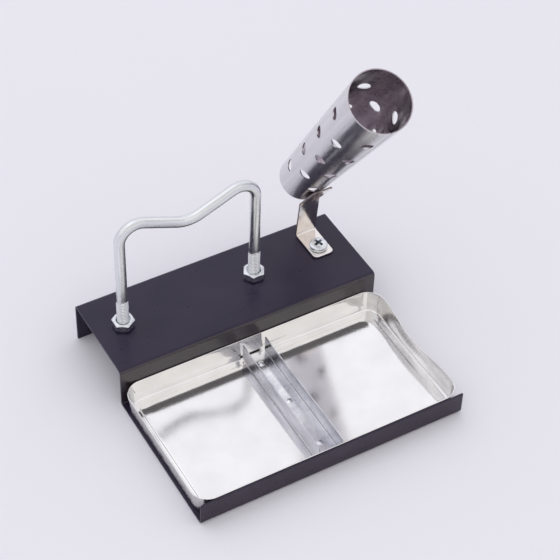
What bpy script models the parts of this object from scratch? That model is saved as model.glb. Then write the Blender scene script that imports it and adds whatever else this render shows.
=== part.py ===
"""Soldering iron station: a folded steel stand with a lift-out tray, a bent wire rest and a
swivelling perforated tube that holds the iron.

Metres, +Z up. The origin is on the table under the middle of the whole stand. +X runs along
the long side and +Y points to the back, so the tray is at the front (-Y).
"""
import math

import bmesh
import bpy
from mathutils import Matrix, Vector

# ---- clearances and smoothness ----
GAP = 0.0003                  # air left between two pieces that touch
BEND_STEPS = 5                # facets along one sheet-metal bend
WIRE_STEPS = 9                # facets along one bend of the wire rest
WIRE_SIDES = 20
ROUND_SIDES = 24
TUBE_SIDES = 40
HOLE_SIDES = 14

# ---- folded base sheet ----
BASE_LENGTH = 0.140
SHEET = 0.0010
BEND_RADIUS = 0.0010          # inside radius of every fold
TRAY_BAY_DEPTH = 0.0804       # front of the lip to the front of the step wall
DECK_DEPTH = 0.0498
DECK_HEIGHT = 0.0230
LIP_HEIGHT = 0.0130
LIP_CORNER_RADIUS = 0.0025

# ---- lift-out tray ----
TRAY_SHEET = 0.0005
TRAY_HEIGHT = 0.0118
TRAY_RIM_LENGTH = 0.1404
TRAY_CORNER_RADIUS = 0.0090
TRAY_FLARE = 0.0013           # how far each wall leans out from floor to rim
TRAY_FOOT_RADIUS = 0.0014     # outside radius between wall and floor
TRAY_GUTTER_WIDTH = 0.0030    # flat margin round the raised floor panel
TRAY_PANEL_RISE = 0.0004
TRAY_PANEL_SLOPE = 0.0006
TRAY_CORNER_STEPS = 6
TRAY_DENT = 0.0025            # the right wall bows in by this much
TRAY_DENT_LENGTH = 0.056
TRAY_DENT_CENTRE = 0.0013     # towards the back from the middle of the wall
TRAY_DENT_STEPS = 8

# ---- divider channel inside the tray ----
DIVIDER_WIDTH = 0.0128
DIVIDER_TOP = 0.0104          # height of its walls above the tray floor
DIVIDER_SHEET = 0.0005
DIVIDER_NUB_RADIUS = 0.0014
DIVIDER_NUB_HEIGHT = 0.0007
DIVIDER_NUB_PLACES = (-0.027, 0.002, 0.029)

# ---- wire rest and its M6 nuts ----
WIRE_SPACING = 0.0713         # between the two legs
WIRE_CENTRE_X = -0.0197
WIRE_Y = 0.1068               # from the lip's front face
WIRE_RADIUS = 0.00268
THREAD_RADIUS = 0.0030
THREAD_TOP = 0.0167           # above the deck
WIRE_TAIL = 0.0075            # below the deck's top face
DIP_HEIGHT = 0.0525           # corner of the dip above the deck
HUMP_HEIGHT = 0.0675          # corners of the two humps above the deck
HUMP_RADIUS = 0.0090
DIP_RADIUS = 0.0160
NUT_WIDTH = 0.0100
NUT_HEIGHT = 0.0045
LOWER_NUT_HEIGHT = 0.0040
UPPER_NUT_TURNS = (math.radians(30), 0.0)    # how far each upper nut happens to be turned

# ---- strap bracket and its M5 fasteners ----
SCREW_X = 0.0538
SCREW_Y = 0.1085              # from the lip's front face
STRAP_WIDTH = 0.0112
STRAP_SHEET = 0.0010
FOOT_FRONT = 0.0062           # from the screw to the strap's front end
RISER_BACK = 0.0126           # from the screw to the front of the riser's foot
RISER_LEAN = 0.0027           # the riser's top is this much nearer the front
RISER_HEIGHT = 0.0237
TAB_LENGTH = 0.0206
STRAP_CORNER_RADIUS = 0.0020
SCREW_RADIUS = 0.0025
SCREW_HEAD_RADIUS = 0.0046
SCREW_HEAD_HEIGHT = 0.0030
SCREW_LENGTH = 0.0120
RECESS_DEPTH = 0.0016
RECESS_SPAN = 0.0050
RECESS_WIDTH = 0.0010
SCREW_NUT_WIDTH = 0.0080
SCREW_NUT_HEIGHT = 0.0040
WASHER_RADIUS = 0.0046
WASHER_THICKNESS = 0.0012
WASHER_SPLIT = 0.0007

# ---- perforated tube ----
TUBE_TILT = math.radians(56.5)    # of its axis above the deck
TUBE_LENGTH = 0.1130
TUBE_TAIL_RADIUS = 0.0113
TUBE_MOUTH_RADIUS = 0.0154
TUBE_SHEET = 0.0006
TUBE_ON_TAB = 0.00225             # bend of the tab to the tail end of the tube
VENT_RADIUS = 0.0030
VENT_ROWS = 8
VENT_PITCH = 0.0250
VENT_FIRST = 0.0187
RIVET_RADIUS = 0.0012
RIVET_HEAD_RADIUS = 0.0021
RIVET_HEAD_HEIGHT = 0.0009
RIVET_PLACES = (0.0074, 0.0144)   # along the tab from its bend

# ---- worked out from the above ----
TUBE_TAPER = math.atan2(TUBE_MOUTH_RADIUS - TUBE_TAIL_RADIUS, TUBE_LENGTH)
TAB_TILT = TUBE_TILT - TUBE_TAPER
RISER_FOOT_Y = SCREW_Y + RISER_BACK + STRAP_SHEET / 2
TAB_TURN = Vector((SCREW_X, RISER_FOOT_Y - RISER_LEAN, DECK_HEIGHT + GAP + RISER_HEIGHT))
TAB_UP = Vector((0, -math.cos(TAB_TILT), math.sin(TAB_TILT)))
TAB_BACK = Vector((0, math.sin(TAB_TILT), math.cos(TAB_TILT)))
TUBE_AXIS = Vector((0, -math.cos(TUBE_TILT), math.sin(TUBE_TILT)))
TUBE_UP = Vector((0, math.sin(TUBE_TILT), math.cos(TUBE_TILT)))
TUBE_FOOT = TAB_TURN + TAB_UP * TUBE_ON_TAB + TAB_BACK * (STRAP_SHEET / 2 + GAP)
TUBE_TAIL = TUBE_FOOT + TUBE_UP * TUBE_TAIL_RADIUS
REAR_Y = TUBE_TAIL.y + TUBE_TAIL_RADIUS * TUBE_UP.y    # rearmost point of the whole stand
FRONT_Y = -REAR_Y / 2                                  # the lip's front face in the part's frame
BASE_REAR = TRAY_BAY_DEPTH + DECK_DEPTH
WIRE_LEGS = (WIRE_CENTRE_X - WIRE_SPACING / 2, WIRE_CENTRE_X + WIRE_SPACING / 2)
TRAY_FLOOR = SHEET + GAP + TRAY_SHEET                  # top of the gutter, above the table
TRAY_FRONT = SHEET + GAP
TRAY_BACK = TRAY_BAY_DEPTH - GAP


# ---------------------------------------------------------------- helpers

def clear_scene():
    for obj in list(bpy.data.objects):
        bpy.data.objects.remove(obj, do_unlink=True)


def material(name, colour, roughness, metallic):
    mat = bpy.data.materials.new(name)
    mat.use_nodes = True
    shader = mat.node_tree.nodes["Principled BSDF"]
    shader.inputs["Base Color"].default_value = (*colour, 1.0)
    shader.inputs["Roughness"].default_value = roughness
    shader.inputs["Metallic"].default_value = metallic
    return mat


def new_object(name, bm, mat=None, smooth_angle=None):
    """Turn a bmesh, drawn from the lip's front face, into an object in the part's frame."""
    bmesh.ops.recalc_face_normals(bm, faces=bm.faces)
    bmesh.ops.translate(bm, verts=bm.verts, vec=(0, FRONT_Y, 0))
    mesh = bpy.data.meshes.new(name)
    bm.to_mesh(mesh)
    bm.free()
    obj = bpy.data.objects.new(name, mesh)
    bpy.context.collection.objects.link(obj)
    if mat:
        mesh.materials.append(mat)
    if smooth_angle:
        mesh.shade_smooth()
        mesh.set_sharp_from_angle(angle=math.radians(smooth_angle))
    return obj


def cutter(name, bm):
    obj = new_object(name, bm)
    obj.display_type = "WIRE"
    obj.hide_render = True
    return obj


def boolean(obj, other, operation="DIFFERENCE"):
    mod = obj.modifiers.new(other.name, "BOOLEAN")
    mod.operation = operation
    mod.object = other
    mod.solver = "EXACT"


def set_origin(obj, point):
    """Move the object's origin to a point of the part's frame, its shape staying put."""
    obj.data.transform(Matrix.Translation(-point))
    obj.location = point


def filleted_path(corners, radius, steps):
    """Points and unit normals along a flat path whose inner corners are rounded."""
    radii = radius if isinstance(radius, (list, tuple)) else [radius] * (len(corners) - 2)
    path = []
    first = (Vector(corners[1]) - Vector(corners[0])).normalized()
    path.append((Vector(corners[0]), Vector((-first.y, first.x))))
    for i, r in enumerate(radii, start=1):
        here = Vector(corners[i])
        d_in = (here - Vector(corners[i - 1])).normalized()
        d_out = (Vector(corners[i + 1]) - here).normalized()
        turn = math.atan2(d_in.cross(d_out), d_in.dot(d_out))
        n_in = Vector((-d_in.y, d_in.x))
        side = math.copysign(1.0, turn)
        centre = here - d_in * r * math.tan(abs(turn) / 2) + n_in * r * side
        for k in range(steps + 1):
            n = Matrix.Rotation(turn * k / steps, 2) @ n_in
            path.append((centre - n * r * side, n))
    last = (Vector(corners[-1]) - Vector(corners[-2])).normalized()
    path.append((Vector(corners[-1]), Vector((-last.y, last.x))))
    return path


def strip_outline(corners, thickness, inside_radius, steps=BEND_STEPS):
    """Closed outline of a bent strip whose middle line runs through the corners."""
    path = filleted_path(corners, inside_radius + thickness / 2, steps)
    left = [p + n * thickness / 2 for p, n in path]
    right = [p - n * thickness / 2 for p, n in path]
    return left + right[::-1]


def extrude_outline(outline, axis, low, high):
    """Prism on a closed outline; axis X takes (y, z) points and axis Y takes (x, z) points."""
    bm = bmesh.new()
    place = {"X": lambda p: (low, p[0], p[1]), "Y": lambda p: (p[0], low, p[1])}[axis]
    face = bm.faces.new([bm.verts.new(place(p)) for p in outline])
    shift = {"X": (high - low, 0, 0), "Y": (0, high - low, 0)}[axis]
    moved = bmesh.ops.extrude_face_region(bm, geom=[face])
    verts = [v for v in moved["geom"] if isinstance(v, bmesh.types.BMVert)]
    bmesh.ops.translate(bm, verts=verts, vec=shift)
    return bm


def round_edges(bm, picked, radius, steps=BEND_STEPS):
    edges = [e for e in bm.edges if picked(e)]
    bmesh.ops.bevel(bm, geom=edges, offset=radius, segments=steps, profile=0.5, affect="EDGES")


def bridge_rings(bm, rings, close=False):
    pairs = list(zip(rings, rings[1:]))
    if close:
        pairs.append((rings[-1], rings[0]))
    for a, b in pairs:
        for i in range(len(a)):
            j = (i + 1) % len(a)
            bm.faces.new((a[i], a[j], b[j], b[i]))


def turned(profile, sides, matrix, close=False):
    """Turn (radius, height) points about Z. Open profiles get flat end caps."""
    bm = bmesh.new()
    rings = []
    for r, z in profile:
        ring = []
        for k in range(sides):
            a = 2 * math.pi * k / sides
            ring.append(bm.verts.new(matrix @ Vector((r * math.cos(a), r * math.sin(a), z))))
        rings.append(ring)
    bridge_rings(bm, rings, close)
    if not close:
        bm.faces.new(rings[0])
        bm.faces.new(rings[-1])
    return bm


def upright(x, y, z):
    return Matrix.Translation((x, y, z))


def along(point, direction):
    return Matrix.Translation(point) @ direction.to_track_quat("Z", "Y").to_matrix().to_4x4()


def hole(name, radius, matrix, length, sides=HOLE_SIDES):
    return cutter(name, turned([(radius, -length / 2), (radius, length / 2)], sides, matrix))


# ---------------------------------------------------------------- folded base

def base_plate(mat):
    half = SHEET / 2
    corners = [
        (half, LIP_HEIGHT),
        (half, half),
        (TRAY_BAY_DEPTH + half, half),
        (TRAY_BAY_DEPTH + half, DECK_HEIGHT - half),
        (BASE_REAR - half, DECK_HEIGHT - half),
        (BASE_REAR - half, 0.0),
    ]
    outline = strip_outline(corners, SHEET, BEND_RADIUS)
    bm = extrude_outline(outline, "X", -BASE_LENGTH / 2, BASE_LENGTH / 2)

    def lip_corner(edge):
        a, b = (v.co for v in edge.verts)
        level = min(a.z, b.z) > LIP_HEIGHT - half and max(a.x, b.x) < 0
        return level and max(a.y, b.y) < 2 * SHEET and abs(a.y - b.y) > half

    round_edges(bm, lip_corner, LIP_CORNER_RADIUS)
    plate = new_object("base_plate", bm, mat, 30)
    for side, x in zip(("left", "right"), WIRE_LEGS):
        place = upright(x, WIRE_Y, DECK_HEIGHT)
        boolean(plate, hole(f"cut_wire_{side}", THREAD_RADIUS + GAP, place, 4 * SHEET))
    place = upright(SCREW_X, SCREW_Y, DECK_HEIGHT)
    boolean(plate, hole("cut_deck_screw", SCREW_RADIUS + GAP, place, 4 * SHEET))


# ---------------------------------------------------------------- tray and divider

def tray_dent(y, height_share):
    """How far the right wall bows in at this place along it."""
    middle = (TRAY_FRONT + TRAY_BACK) / 2 + TRAY_DENT_CENTRE
    along_wall = abs(y - middle) / (TRAY_DENT_LENGTH / 2)
    if along_wall >= 1:
        return 0.0
    return TRAY_DENT * height_share * 0.5 * (1 + math.cos(math.pi * along_wall))


def tray_loop(bm, inset, z):
    """One rounded rectangle, inset from the rim's outside, counter-clockwise from above."""
    x = TRAY_RIM_LENGTH / 2 - inset
    front, back = TRAY_FRONT + inset, TRAY_BACK - inset
    r = TRAY_CORNER_RADIUS - inset
    share = min(max((z - TRAY_FLOOR) / TRAY_HEIGHT, 0), 1)
    points = []
    right, left, near, far = x - r, r - x, front + r, back - r
    centres = ((right, near, -90), (right, far, 0), (left, far, 90), (left, near, 180))
    for i, (cx, cy, start) in enumerate(centres):
        for k in range(TRAY_CORNER_STEPS + 1):
            a = math.radians(start + 90 * k / TRAY_CORNER_STEPS)
            points.append((cx + r * math.cos(a), cy + r * math.sin(a)))
        if i == 0:
            middle = (TRAY_FRONT + TRAY_BACK) / 2 + TRAY_DENT_CENTRE
            for k in range(TRAY_DENT_STEPS + 1):
                y = middle + TRAY_DENT_LENGTH * (k / TRAY_DENT_STEPS - 0.5)
                points.append((x - tray_dent(y, share), y))
    return [bm.verts.new((px, py, z)) for px, py in points]


def tray_wall(offset):
    """(inset, z) up one side of the wall; offset 0 is the outside, TRAY_SHEET the inside."""
    bottom = SHEET + GAP
    r = TRAY_FOOT_RADIUS - offset
    turn_inset = TRAY_FLARE + TRAY_FOOT_RADIUS
    points = []
    for k in range(4):
        a = math.radians(90 * k / 3)
        points.append((turn_inset - r * math.sin(a), bottom + TRAY_FOOT_RADIUS - r * math.cos(a)))
    points.append((offset, bottom + TRAY_HEIGHT))
    return points


def tray_floor(offset):
    """(inset, z) across the gutter and up to the raised floor panel."""
    z = SHEET + GAP + offset
    inner = TRAY_FLARE + TRAY_FOOT_RADIUS + TRAY_GUTTER_WIDTH
    return [(inner + TRAY_PANEL_SLOPE, z + TRAY_PANEL_RISE), (inner, z)]


def tray_pan(mat):
    bm = bmesh.new()
    outside = tray_floor(0.0) + tray_wall(0.0)
    inside = tray_floor(TRAY_SHEET) + tray_wall(TRAY_SHEET)
    rings = [tray_loop(bm, inset, z) for inset, z in outside + inside[::-1]]
    bridge_rings(bm, rings)
    bm.faces.new(rings[0])
    bm.faces.new(rings[-1])
    new_object("tray_pan", bm, mat, 35)


def tray_divider(mat):
    half = DIVIDER_SHEET / 2
    floor = TRAY_FLOOR + TRAY_PANEL_RISE + GAP + half
    top = TRAY_FLOOR + DIVIDER_TOP
    side = DIVIDER_WIDTH / 2 - half
    corners = [(-side, top), (-side, floor), (side, floor), (side, top)]
    outline = strip_outline(corners, DIVIDER_SHEET, half, 3)
    inset = TRAY_FLARE + TRAY_FOOT_RADIUS + GAP
    bm = extrude_outline(outline, "Y", TRAY_FRONT + inset, TRAY_BACK - inset)
    channel = new_object("tray_divider", bm, mat, 35)
    middle = (TRAY_FRONT + TRAY_BACK) / 2
    for i, y in enumerate(DIVIDER_NUB_PLACES, start=1):
        profile = [(DIVIDER_NUB_RADIUS, -half / 2), (DIVIDER_NUB_RADIUS * 0.9, half + DIVIDER_NUB_HEIGHT / 2),
                   (DIVIDER_NUB_RADIUS * 0.5, half + DIVIDER_NUB_HEIGHT)]
        nub = cutter(f"add_nub_{i}", turned(profile, HOLE_SIDES, upright(0, middle + y, floor)))
        boolean(channel, nub, "UNION")


# ---------------------------------------------------------------- wire rest and nuts

def wire_path():
    """(point, normal, radius) from the left leg's tail over both humps to the right leg's tail."""
    low = DECK_HEIGHT - WIRE_TAIL
    left, right = WIRE_LEGS
    hump = DECK_HEIGHT + HUMP_HEIGHT
    dip = (WIRE_CENTRE_X, DECK_HEIGHT + DIP_HEIGHT)
    corners = [(left, low), (left, hump), dip, (right, hump), (right, low)]
    bends = filleted_path(corners, [HUMP_RADIUS, DIP_RADIUS, HUMP_RADIUS], WIRE_STEPS)
    thread_end = DECK_HEIGHT + THREAD_TOP
    chamfer = THREAD_RADIUS / 5

    def leg(x, normal):
        return [
            (Vector((x, low)), normal, THREAD_RADIUS - chamfer),
            (Vector((x, low + chamfer)), normal, THREAD_RADIUS),
            (Vector((x, thread_end)), normal, THREAD_RADIUS),
            (Vector((x, thread_end + chamfer)), normal, WIRE_RADIUS),
        ]

    rise = leg(left, bends[0][1])
    fall = leg(right, bends[-1][1])[::-1]
    return rise + [(p, n, WIRE_RADIUS) for p, n in bends[1:-1]] + fall


def wire_rest(mat):
    bm = bmesh.new()
    rings = []
    for point, normal, radius in wire_path():
        ring = []
        for k in range(WIRE_SIDES):
            a = 2 * math.pi * k / WIRE_SIDES
            flat = point + normal * radius * math.cos(a)
            ring.append(bm.verts.new((flat.x, WIRE_Y + radius * math.sin(a), flat.y)))
        rings.append(ring)
    bridge_rings(bm, rings)
    bm.faces.new(rings[0])
    bm.faces.new(rings[-1])
    new_object("wire_rest", bm, mat, 35)


def hex_nut(name, mat, width, height, bore, place):
    """Hexagon nut with its base at the place given and chamfered corners on both faces."""
    corner = width / math.sqrt(3)
    nut = new_object(name, turned([(corner, 0), (corner, height)], 6, place), mat, 25)
    drop = (corner - width / 2) * 0.6
    flat = width / 2 * 0.97
    outer = corner + drop / 10
    rounding = [(flat, -GAP / 10), (outer, drop), (outer, height - drop), (flat, height + GAP / 10)]
    boolean(nut, cutter(f"round_{name}", turned(rounding, ROUND_SIDES, place)), "INTERSECT")
    boolean(nut, hole(f"bore_{name}", bore, place, 4 * height, ROUND_SIDES))


# ---------------------------------------------------------------- bracket and fasteners

def holder_bracket(mat, pivot):
    half = STRAP_SHEET / 2
    deck = DECK_HEIGHT + GAP + half
    tab_end = (TAB_TURN + TAB_UP * TAB_LENGTH).yz
    corners = [(SCREW_Y - FOOT_FRONT, deck), (RISER_FOOT_Y, deck), TAB_TURN.yz, tab_end]
    outline = strip_outline(corners, STRAP_SHEET, STRAP_SHEET)
    bm = extrude_outline(outline, "X", SCREW_X - STRAP_WIDTH / 2, SCREW_X + STRAP_WIDTH / 2)

    def strap_end(edge):
        a, b = (v.co for v in edge.verts)
        if abs(a.x - b.x) > half:
            return False
        at_foot = max(a.y, b.y) < SCREW_Y - FOOT_FRONT + half and max(a.z, b.z) < deck + STRAP_SHEET
        at_tab = all((Vector((v.y, v.z)) - tab_end).length < STRAP_SHEET for v in (a, b))
        return at_foot or at_tab

    round_edges(bm, strap_end, STRAP_CORNER_RADIUS)
    strap = new_object("holder_bracket", bm, mat, 30)
    place = upright(SCREW_X, SCREW_Y, DECK_HEIGHT)
    boolean(strap, hole("cut_strap_screw", SCREW_RADIUS + GAP, place, 6 * STRAP_SHEET, ROUND_SIDES))
    for i in range(len(RIVET_PLACES)):
        boolean(strap, hole(f"cut_strap_rivet_{i + 1}", RIVET_RADIUS + GAP, rivet_place(i), 8 * STRAP_SHEET))
    set_origin(strap, pivot)


def rivet_place(i):
    """Frame of one rivet: origin in the middle of the tab's sheet, +Z into the tube."""
    return along(TAB_TURN + TAB_UP * RIVET_PLACES[i], TAB_BACK)


def holder_rivet(i, mat, pivot):
    head = STRAP_SHEET / 2 + GAP
    inner = STRAP_SHEET / 2 + GAP + TUBE_SHEET + 2 * GAP
    profile = [
        (RIVET_HEAD_RADIUS * 0.6, -head - RIVET_HEAD_HEIGHT),
        (RIVET_HEAD_RADIUS * 0.92, -head - RIVET_HEAD_HEIGHT * 0.6),
        (RIVET_HEAD_RADIUS, -head),
        (RIVET_RADIUS, -head),
        (RIVET_RADIUS, inner),
        (RIVET_HEAD_RADIUS * 0.85, inner),
        (RIVET_HEAD_RADIUS * 0.6, inner + RIVET_HEAD_HEIGHT * 0.7),
    ]
    rivet = new_object(f"tube_rivet_{i + 1}", turned(profile, ROUND_SIDES // 2, rivet_place(i)), mat, 40)
    set_origin(rivet, pivot)


def bracket_screw(mat):
    seat = DECK_HEIGHT + GAP + STRAP_SHEET + GAP
    crown = seat + SCREW_HEAD_HEIGHT
    tail = seat - SCREW_LENGTH
    rim = 0.55 * SCREW_HEAD_HEIGHT
    dome = SCREW_HEAD_HEIGHT - rim
    profile = [
        (SCREW_RADIUS - GAP, tail),
        (SCREW_RADIUS, tail + GAP),
        (SCREW_RADIUS, seat),
        (SCREW_HEAD_RADIUS, seat),
    ]
    for k in range(6):
        a = math.radians(90 * k / 6)
        profile.append((SCREW_HEAD_RADIUS * math.cos(a) ** 0.6, seat + rim + dome * math.sin(a)))
    screw = new_object("bracket_screw", turned(profile, ROUND_SIDES, upright(SCREW_X, SCREW_Y, 0)), mat, 35)
    bm = bmesh.new()
    for turn in (0, 90):
        bar = bmesh.ops.create_cube(bm, size=1.0)
        bmesh.ops.scale(bm, verts=bar["verts"], vec=(RECESS_SPAN, RECESS_WIDTH, 2 * RECESS_DEPTH))
        place = upright(SCREW_X, SCREW_Y, crown) @ Matrix.Rotation(math.radians(20 + turn), 4, "Z")
        bmesh.ops.transform(bm, matrix=place, verts=bar["verts"])
        boolean(screw, cutter(f"cut_recess_{turn}", bm))
        bm = bmesh.new()
    bm.free()


def lock_washer(mat):
    """Split spring washer under the deck."""
    top = DECK_HEIGHT - SHEET - GAP
    profile = [
        (SCREW_RADIUS + GAP, top - WASHER_THICKNESS),
        (WASHER_RADIUS, top - WASHER_THICKNESS),
        (WASHER_RADIUS, top),
        (SCREW_RADIUS + GAP, top),
    ]
    bm = turned(profile, ROUND_SIDES, upright(SCREW_X, SCREW_Y, 0), close=True)
    washer = new_object("bracket_lock_washer", bm, mat, 35)
    bm = bmesh.new()
    bmesh.ops.create_cube(bm, size=1.0)
    bmesh.ops.scale(bm, verts=bm.verts, vec=(WASHER_SPLIT, 2 * WASHER_RADIUS, 4 * WASHER_THICKNESS))
    bmesh.ops.translate(bm, verts=bm.verts, vec=(SCREW_X, SCREW_Y - WASHER_RADIUS, top))
    boolean(washer, cutter("cut_washer_split", bm))


# ---------------------------------------------------------------- perforated tube

def vent_cutters(frame):
    """Through-holes: every second row is shifted by half a pitch and has one vent fewer."""
    cutters = []
    for row in range(VENT_ROWS // 2):
        shifted = row % 2
        angle = 2 * math.pi * (row + 0.5) / VENT_ROWS
        bm = bmesh.new()
        for k in range(4 - shifted):
            place = Vector((0, 0, VENT_FIRST + VENT_PITCH * (k + shifted / 2)))
            across = Vector((math.cos(angle), math.sin(angle), 0))
            matrix = frame @ along(place, across)
            for z in (-TUBE_MOUTH_RADIUS * 1.5, TUBE_MOUTH_RADIUS * 1.5):
                ring = []
                for i in range(HOLE_SIDES):
                    a = 2 * math.pi * i / HOLE_SIDES
                    spot = Vector((VENT_RADIUS * math.cos(a), VENT_RADIUS * math.sin(a), z))
                    ring.append(bm.verts.new(matrix @ spot))
                if z < 0:
                    first = ring
            bridge_rings(bm, [first, ring])
            bm.faces.new(first)
            bm.faces.new(ring)
        cutters.append(cutter(f"cut_vents_{row + 1}", bm))
    return cutters


def holder_tube(mat, pivot):
    turn = Matrix((Vector((1, 0, 0)), TUBE_UP, TUBE_AXIS)).transposed().to_4x4()
    frame = Matrix.Translation(TUBE_TAIL) @ turn
    wall = TUBE_SHEET / math.cos(TUBE_TAPER)
    profile = [
        (TUBE_TAIL_RADIUS, 0),
        (TUBE_MOUTH_RADIUS, TUBE_LENGTH),
        (TUBE_MOUTH_RADIUS - wall, TUBE_LENGTH),
        (TUBE_TAIL_RADIUS - wall, 0),
    ]
    tube = new_object("holder_tube", turned(profile, TUBE_SIDES, frame, close=True), mat, 30)
    for vents in vent_cutters(frame):
        boolean(tube, vents)
    for i in range(len(RIVET_PLACES)):
        boolean(tube, hole(f"cut_tube_rivet_{i + 1}", RIVET_RADIUS + GAP, rivet_place(i), 8 * STRAP_SHEET))
    set_origin(tube, pivot)


# ---------------------------------------------------------------- assembly

def build():
    clear_scene()
    black = material("black_powder_coat", (0.045, 0.042, 0.055), 0.42, 0.0)
    tin = material("tinplate", (0.86, 0.85, 0.83), 0.14, 1.0)
    zinc = material("zinc_plate", (0.78, 0.80, 0.82), 0.28, 1.0)
    nickel = material("nickel_plate", (0.80, 0.76, 0.70), 0.18, 1.0)
    bright = material("bright_steel", (0.72, 0.71, 0.72), 0.20, 1.0)
    pivot = Vector((SCREW_X, FRONT_Y + SCREW_Y, DECK_HEIGHT))

    base_plate(black)
    tray_pan(tin)
    tray_divider(tin)
    wire_rest(zinc)
    bore = THREAD_RADIUS + GAP
    under = DECK_HEIGHT - SHEET - GAP - LOWER_NUT_HEIGHT
    for side, x, turn in zip(("left", "right"), WIRE_LEGS, UPPER_NUT_TURNS):
        above = upright(x, WIRE_Y, DECK_HEIGHT + GAP) @ Matrix.Rotation(turn, 4, "Z")
        hex_nut(f"upper_nut_{side}", zinc, NUT_WIDTH, NUT_HEIGHT, bore, above)
        hex_nut(f"lower_nut_{side}", zinc, NUT_WIDTH, LOWER_NUT_HEIGHT, bore, upright(x, WIRE_Y, under))
    holder_bracket(nickel, pivot)
    bracket_screw(zinc)
    lock_washer(zinc)
    under = DECK_HEIGHT - SHEET - 2 * GAP - WASHER_THICKNESS - SCREW_NUT_HEIGHT
    place = upright(SCREW_X, SCREW_Y, under)
    hex_nut("bracket_nut", zinc, SCREW_NUT_WIDTH, SCREW_NUT_HEIGHT, SCREW_RADIUS + GAP, place)
    holder_tube(bright, pivot)
    for i in range(len(RIVET_PLACES)):
        holder_rivet(i, nickel, pivot)


build()
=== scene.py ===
"""Looks of the soldering iron stand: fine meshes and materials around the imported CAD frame."""
import math

import bmesh
import bpy
from mathutils import Matrix, Vector, noise


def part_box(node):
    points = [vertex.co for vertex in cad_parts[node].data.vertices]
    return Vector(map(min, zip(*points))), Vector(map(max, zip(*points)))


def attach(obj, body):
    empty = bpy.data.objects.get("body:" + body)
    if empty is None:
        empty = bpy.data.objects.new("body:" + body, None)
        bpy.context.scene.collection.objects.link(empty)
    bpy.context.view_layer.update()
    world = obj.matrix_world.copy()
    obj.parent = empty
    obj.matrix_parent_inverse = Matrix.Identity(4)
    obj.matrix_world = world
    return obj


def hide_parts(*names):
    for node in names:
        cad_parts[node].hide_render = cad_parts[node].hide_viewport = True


MM = 0.001

# ---- sheet metal ----
BASE_SHEET = 1.0 * MM
BASE_BEND = 1.5 * MM              # middle of the sheet, at every fold
LIP_CORNER = 2.5 * MM
TRAY_SHEET = 0.5 * MM
TRAY_CORNER = 9.0 * MM
TRAY_FLARE = 1.3 * MM
TRAY_FOOT = 1.4 * MM
TRAY_GUTTER = 2.6 * MM
TRAY_PANEL_RISE = 0.4 * MM
TRAY_DENT = 2.5 * MM
TRAY_DENT_LENGTH = 56 * MM
TRAY_DENT_CENTRE = 1.3 * MM
CHANNEL_SHEET = 0.5 * MM
NUB_PLACES = (-27 * MM, 2 * MM, 29 * MM)
NUB_RADIUS = 1.3 * MM
NUB_HEIGHT = 0.6 * MM

# ---- wire rest ----
WIRE_RADIUS = 2.68 * MM
THREAD_RADIUS = 3.0 * MM
THREAD_DEPTH = 0.32 * MM
THREAD_PITCH = 1.0 * MM
RUN_OUT_TILT = 1.1 * MM           # the thread starts higher at the front than at the back
THREAD_TOP = 16.7 * MM            # above the deck
DIP_CORNER = 52.5 * MM
HUMP_CORNER = 67.5 * MM
HUMP_RADIUS = 9.0 * MM
DIP_RADIUS = 16.0 * MM
NUT_CHAMFER = 0.88                # where the chamfer starts, as a share of half the width
NUT_SINK = 0.7 * MM               # countersink at both ends of the bore

FLOOR_SLOPE = 0.028               # tips only the shading of the tray's sheet; its mesh stays level

# ---- light from the room: in front of the stand and behind it ----
FRONT_LIGHT = (0.90, 0.88, 0.87)
BACK_LIGHT = (0.98, 0.98, 1.04)

# ---- strap, screw and tube ----
STRAP_SHEET = 1.0 * MM
STRAP_CORNER = 2.0 * MM
STRAP_RISE = 24.0 * MM            # deck to the upper bend
RISER_BACK = 13.1 * MM            # screw to the middle of the riser's sheet, at its foot
RISER_LEAN = 2.7 * MM             # the riser's top is this much nearer the front
FOOT_FRONT = 6.2 * MM             # screw to the strap's front end
TUBE_TILT = math.radians(56.5)
TUBE_LENGTH = 113 * MM
TUBE_TAIL = 11.3 * MM
TUBE_MOUTH = 15.4 * MM
TUBE_WALL = 0.6 * MM
VENT_ROWS = 8
VENT_RADIUS = 3.0 * MM
VENT_PITCH = 25 * MM
VENT_FIRST = 18.7 * MM
SEAM_ANGLE = math.radians(-95)    # on the tube's underside
SEAM_GAP = 0.35 * MM
RIVET_PLACES = (7.4 * MM, 14.4 * MM)
RIVET_RADIUS = 1.2 * MM
RIVET_HEAD_RADIUS = 2.1 * MM
RIVET_HEAD_HEIGHT = 0.9 * MM
RIVET_TAIL_RADIUS = 1.75 * MM
RIVET_TAIL_HEIGHT = 0.6 * MM
CLEAR = 0.3 * MM
SCREW_RADIUS = 2.5 * MM
SCREW_PITCH = 0.8 * MM
SCREW_THREAD_DEPTH = 0.36 * MM
SCREW_HEAD_HEIGHT = 3.0 * MM
RECESS_TURN = 20                  # degrees
RECESS_REACH = 2.9 * MM           # the recess lies within this radius

# ---- camera ----
CAMERA_LENS = 114.76929           # mm, on a 36 mm sensor
CAMERA_PLACE = (-0.29455, -0.43162, 0.64598)     # y from the front of the base
CAMERA_AZIMUTH = math.radians(-31.17)
CAMERA_ELEVATION = math.radians(45.17)
CAMERA_ROLL = math.radians(2.159)

# ---- table: flat, then sweeping up at its rim ----
TABLE_FLAT = 2.2
TABLE_SWEEP = 1.4


# ---------------------------------------------------------------- mesh helpers

def link(name, mesh):
    obj = bpy.data.objects.new(name, mesh)
    bpy.context.collection.objects.link(obj)
    return obj


def finish_mesh(obj, sharp_deg, weighted=True):
    obj.data.shade_smooth()
    obj.data.set_sharp_from_angle(angle=math.radians(sharp_deg))
    if not weighted:
        return
    mod = obj.modifiers.new("weighted_normals", "WEIGHTED_NORMAL")
    mod.keep_sharp = True
    mod.weight = 60


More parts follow.
